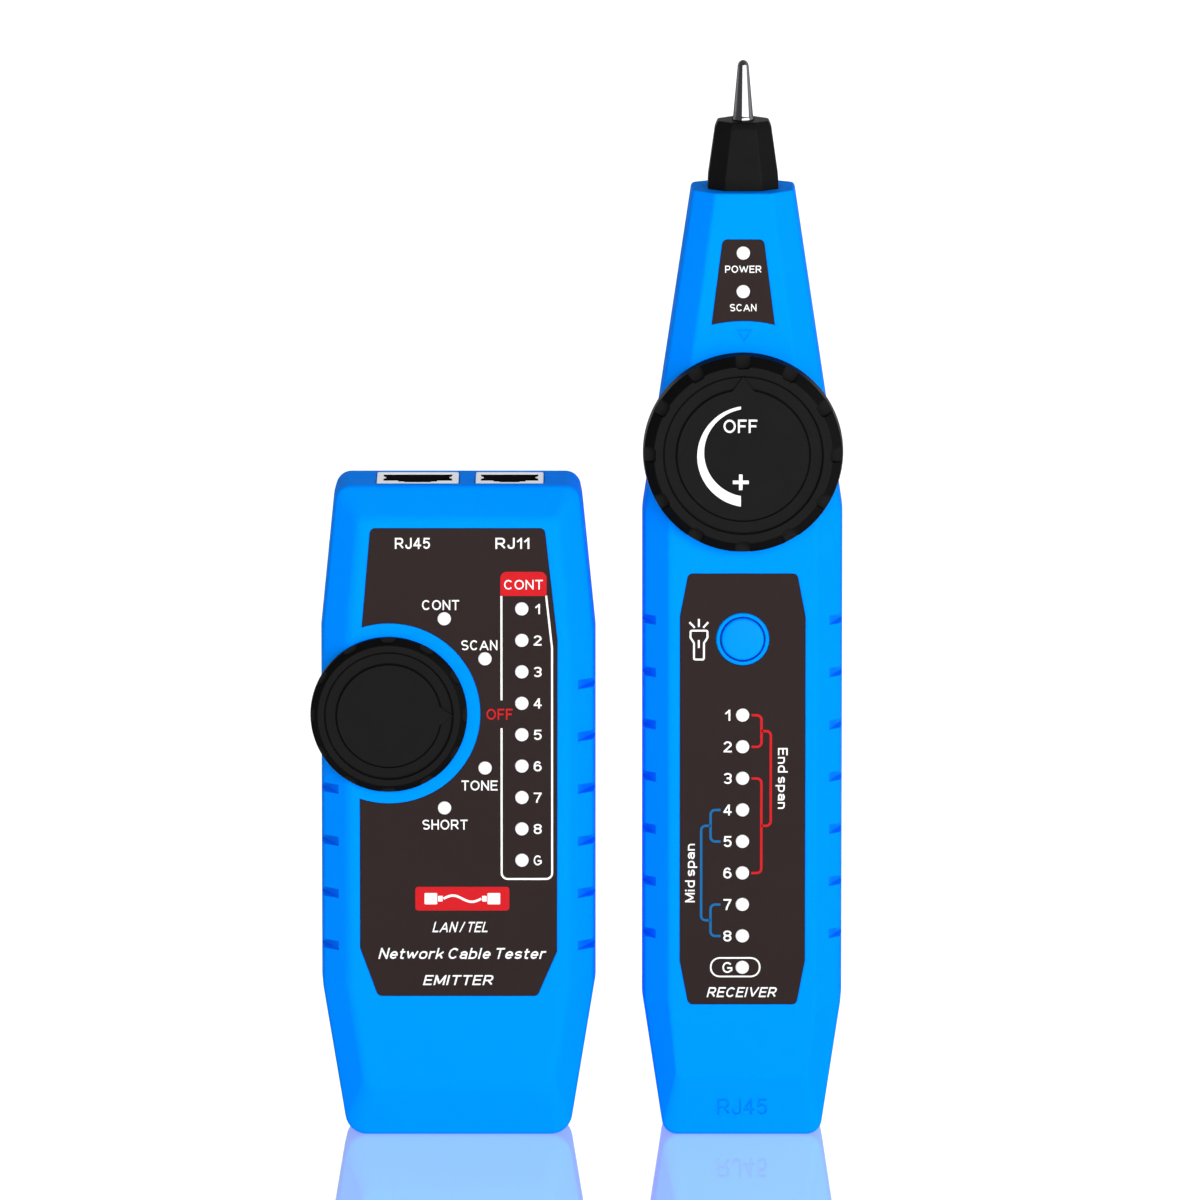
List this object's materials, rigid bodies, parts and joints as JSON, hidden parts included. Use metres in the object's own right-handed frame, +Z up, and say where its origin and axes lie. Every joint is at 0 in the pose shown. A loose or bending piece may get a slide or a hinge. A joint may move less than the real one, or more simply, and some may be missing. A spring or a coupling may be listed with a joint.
{
  "type": "network cable tester",
  "caption": "Two-unit cable test kit standing upright: a flat emitter box with a selector dial and top sockets, and a slim receiver with a volume dial, lamp button and metal probe tip.",
  "frame": {"origin": "centre of the kit's bounding box, on the flat bases that both units stand on", "axes": "+Z up along both upright units towards the probe tip, +X from the emitter to the receiver, -Y towards the faces with the dials"},
  "size_m": [0.0929, 0.031, 0.1896],
  "materials": {
    "case_blue": "satin moulded",
    "dial_black": "fine matte texture",
    "label_dark": "satin printed film",
    "socket_white": "semi-gloss",
    "lens_white": "diffusing",
    "contact_gold": "plated",
    "steel": "plain",
    "probe_chrome": "polished",
    "board_green": "solder mask",
    "battery_jacket": "printed foil"
  },
  "bodies": {
    "emitter_case": {"emitter_front_shell": "case_blue", "emitter_rear_shell": "case_blue", "emitter_face_label": "label_dark", "emitter_main_board": "board_green", "emitter_light_guide": "lens_white", "mode_led_cont": "lens_white", "mode_led_scan": "lens_white", "mode_led_tone": "lens_white", "mode_led_short": "lens_white", "emitter_rj45_socket": "socket_white", "emitter_rj45_socket_contacts": "contact_gold", "emitter_rj11_socket": "socket_white", "emitter_rj11_socket_contacts": "contact_gold", "emitter_battery": "battery_jacket", "emitter_battery_snap": "dial_black", "emitter_screw_upper_left": "steel", "emitter_screw_upper_right": "steel", "emitter_screw_lower_left": "steel", "emitter_screw_lower_right": "steel", "selector_switch": "dial_black"},
    "selector": {"selector_shaft": "steel", "selector_knob": "dial_black", "selector_knob_cap": "dial_black"},
    "emitter_door": {"emitter_battery_door": "case_blue"},
    "receiver_case": {"receiver_front_shell": "case_blue", "receiver_rear_shell": "case_blue", "receiver_upper_label": "label_dark", "receiver_lower_label": "label_dark", "receiver_main_board": "board_green", "receiver_light_guide": "lens_white", "status_led_power": "lens_white", "status_led_scan": "lens_white", "receiver_rj45_socket": "socket_white", "receiver_rj45_socket_contacts": "contact_gold", "receiver_battery": "battery_jacket", "receiver_battery_snap": "dial_black", "receiver_screw_lower_left": "steel", "receiver_screw_lower_right": "steel", "receiver_screw_upper": "steel", "receiver_nose": "dial_black", "nose_nut": "steel", "probe_tip": "probe_chrome", "probe_contact": "contact_gold", "loudspeaker": "steel", "volume_potentiometer": "dial_black", "torch_switch": "dial_black", "torch_led": "lens_white"},
    "volume": {"volume_shaft": "steel", "volume_knob": "dial_black", "volume_knob_cap": "dial_black"},
    "torch": {"torch_button": "case_blue", "torch_switch_plunger": "socket_white"},
    "receiver_door": {"receiver_battery_door": "case_blue"}
  },
  "joints": [
    {"name": "selector_turn", "type": "hinge", "parent": "emitter_case", "child": "selector", "pos_m": [-0.0327, 0.0025, 0.0758], "axis": [0, 1, 0], "range_deg": [-60, 60]},
    {"name": "emitter_door_lift", "type": "slide", "parent": "emitter_case", "child": "emitter_door", "axis": [0, 1, 0], "range_m": [0, 0.03]},
    {"name": "receiver_stand", "type": "slide", "parent": "emitter_case", "child": "receiver_case", "axis": [0, 0, 1], "range_m": [0, 0.15]},
    {"name": "volume_turn", "type": "hinge", "parent": "receiver_case", "child": "volume", "pos_m": [0.02895, 0.0025, 0.1222], "axis": [0, 1, 0], "range_deg": [0, 180]},
    {"name": "torch_press", "type": "slide", "parent": "receiver_case", "child": "torch", "axis": [0, 1, 0], "range_m": [0, 0.0005], "stiffness_N_per_m": 500},
    {"name": "receiver_door_lift", "type": "slide", "parent": "receiver_case", "child": "receiver_door", "axis": [0, 1, 0], "range_m": [0, 0.03]}
  ]
}
